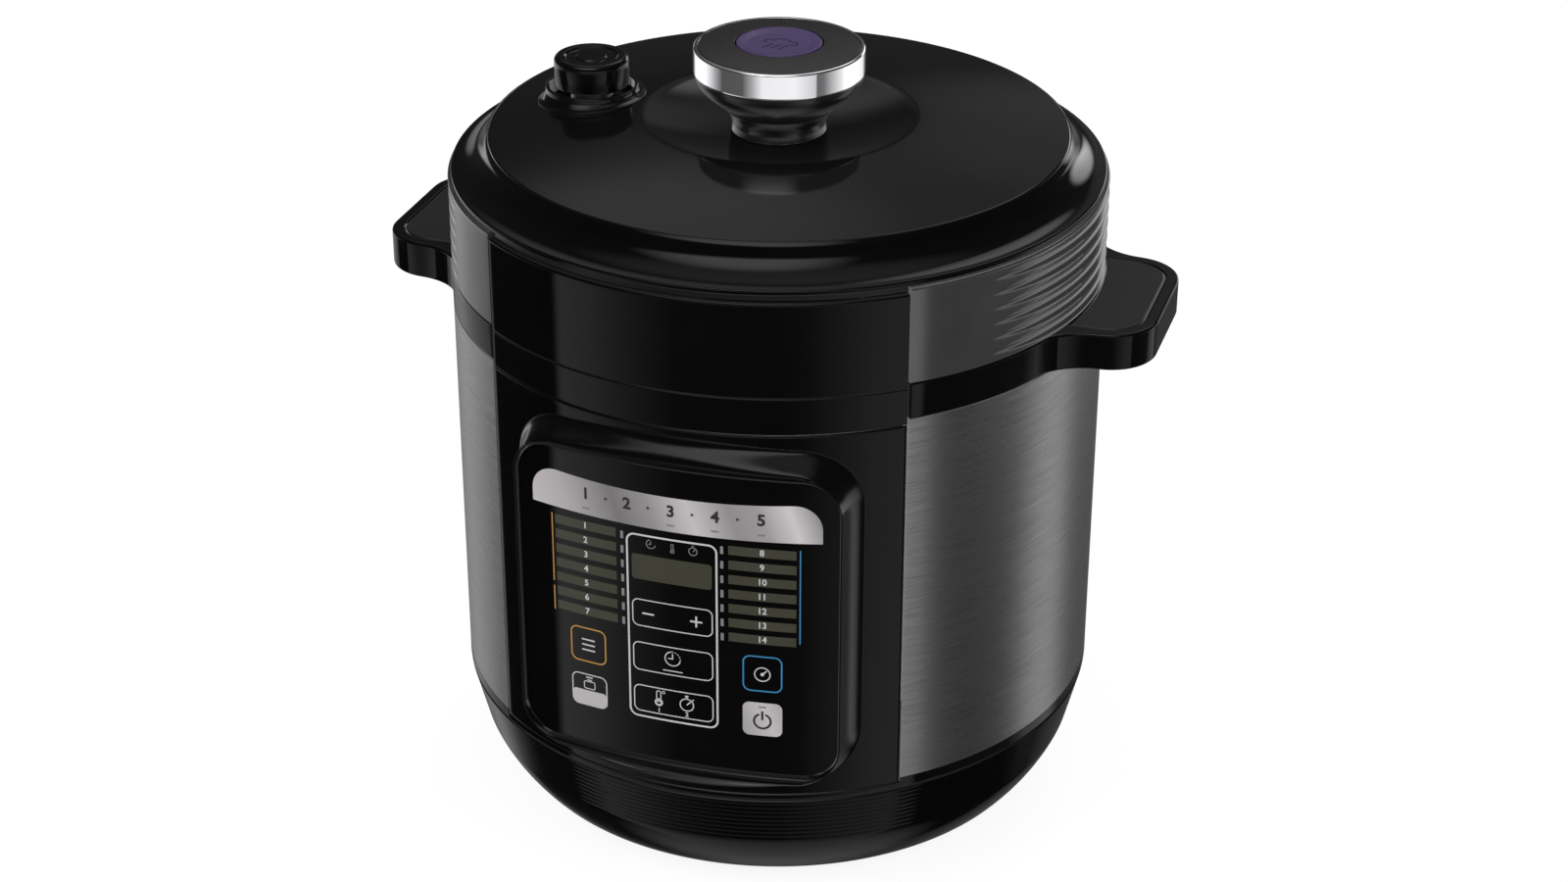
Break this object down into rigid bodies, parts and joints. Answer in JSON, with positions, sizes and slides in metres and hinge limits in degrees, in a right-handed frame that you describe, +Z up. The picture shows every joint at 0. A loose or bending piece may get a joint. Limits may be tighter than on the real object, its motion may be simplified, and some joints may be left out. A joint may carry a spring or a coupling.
{
  "type": "electric pressure cooker",
  "caption": "Round electric pressure cooker with a front touch panel, side handles and a lift-off lid that a central knob locks, with a steam release button in the knob.",
  "frame": {"origin": "on the table under the middle of the round housing, which is the bottom middle of the whole", "axes": "+Z up along the housing's axis, the control panel faces -Y, the handles reach along X"},
  "size_m": [0.358, 0.305, 0.3558],
  "materials": {
    "gloss_black": "polished",
    "satin_black": "satin",
    "lid_black": "satin gloss",
    "panel_black": "polished film",
    "collar_grey": "metallic satin",
    "dark_steel": "brushed along the round",
    "bright_chrome": "polished",
    "black_chrome": "polished",
    "button_plum": "satin",
    "plain_steel": "satin",
    "cast_aluminium": "as cast",
    "pot_grey": "non-stick coat",
    "black_rubber": "matt",
    "pale_rubber": "matt",
    "board_green": "coated",
    "component_grey": "moulded",
    "pin_brass": "bright",
    "cup_grey": "moulded"
  },
  "bodies": {
    "base": {"base_shell": "gloss_black", "bottom_cover": "satin_black", "rubber_feet": "black_rubber", "cover_screws": "plain_steel", "steel_wrap": "dark_steel", "collar_shell": "collar_grey", "front_band": "gloss_black", "collar_front_panel": "gloss_black", "front_fascia": "gloss_black", "panel_overlay": "panel_black", "control_board": "board_green", "display_module": "component_grey", "touch_pads": "black_rubber", "handle_ring": "gloss_black", "left_handle_cap": "satin_black", "right_handle_cap": "satin_black", "top_deck": "satin_black", "outer_pot": "cast_aluminium", "inner_pot": "pot_grey", "heating_plate": "cast_aluminium", "plate_posts": "plain_steel", "sensor_bracket": "plain_steel", "power_board": "board_green", "power_parts": "component_grey", "power_inlet": "satin_black", "inlet_pins": "pin_brass", "cup_holder": "satin_black"},
    "sensor": {"thermal_sensor": "cast_aluminium"},
    "cup": {"condensation_cup": "cup_grey"},
    "lid": {"lid_ring": "gloss_black", "lid_plate": "lid_black", "valve_collar": "gloss_black", "inner_lid": "plain_steel", "sealing_ring": "pale_rubber", "lid_posts": "plain_steel", "lid_screws": "plain_steel", "vent_pipe": "plain_steel", "vent_filter": "plain_steel", "lever_bracket": "plain_steel", "lever_pin": "plain_steel"},
    "knob": {"lock_ring": "cast_aluminium", "lock_spider": "plain_steel", "knob_shaft": "plain_steel", "knob_grip": "black_chrome", "knob_ring": "bright_chrome", "knob_cap": "satin_black"},
    "button": {"release_button": "button_plum", "push_rod": "plain_steel"},
    "lever": {"release_lever": "plain_steel"},
    "valve": {"valve_stem": "satin_black", "valve_cap": "gloss_black"},
    "float": {"float_pin": "plain_steel", "float_seal": "pale_rubber"}
  },
  "joints": [
    {"name": "lid_lift", "type": "slide", "parent": "base", "child": "lid", "axis": [0, 0, 1], "range_m": [0, 0.16]},
    {"name": "knob_turn", "type": "hinge", "parent": "lid", "child": "knob", "pos_m": [0, 0, 0.33], "axis": [0, 0, 1], "range_deg": [0, 30]},
    {"name": "release_press", "type": "slide", "parent": "knob", "child": "button", "axis": [0, 0, -1], "range_m": [0, 0.004], "stiffness_N_per_m": 900, "springref_m": -0.003},
    {"name": "lever_tilt", "type": "hinge", "parent": "lid", "child": "lever", "pos_m": [-0.044, 0, 0.2914], "axis": [0, 1, 0], "range_deg": [0, 5.4]},
    {"name": "valve_lift", "type": "slide", "parent": "lid", "child": "valve", "axis": [0, 0, 1], "range_m": [0, 0.0042]},
    {"name": "float_rise", "type": "slide", "parent": "lid", "child": "float", "axis": [0, 0, 1], "range_m": [0, 0.004]},
    {"name": "sensor_press", "type": "slide", "parent": "base", "child": "sensor", "axis": [0, 0, -1], "range_m": [0, 0.002], "stiffness_N_per_m": 800, "springref_m": -0.003},
    {"name": "cup_slide", "type": "slide", "parent": "base", "child": "cup", "axis": [0, 1, 0], "range_m": [0, 0.035]}
  ],
  "couplings": [
    {"joint": "lever_tilt", "follows": "release_press", "rad_per_m": 22.7},
    {"joint": "valve_lift", "follows": "release_press", "ratio": 1}
  ]
}
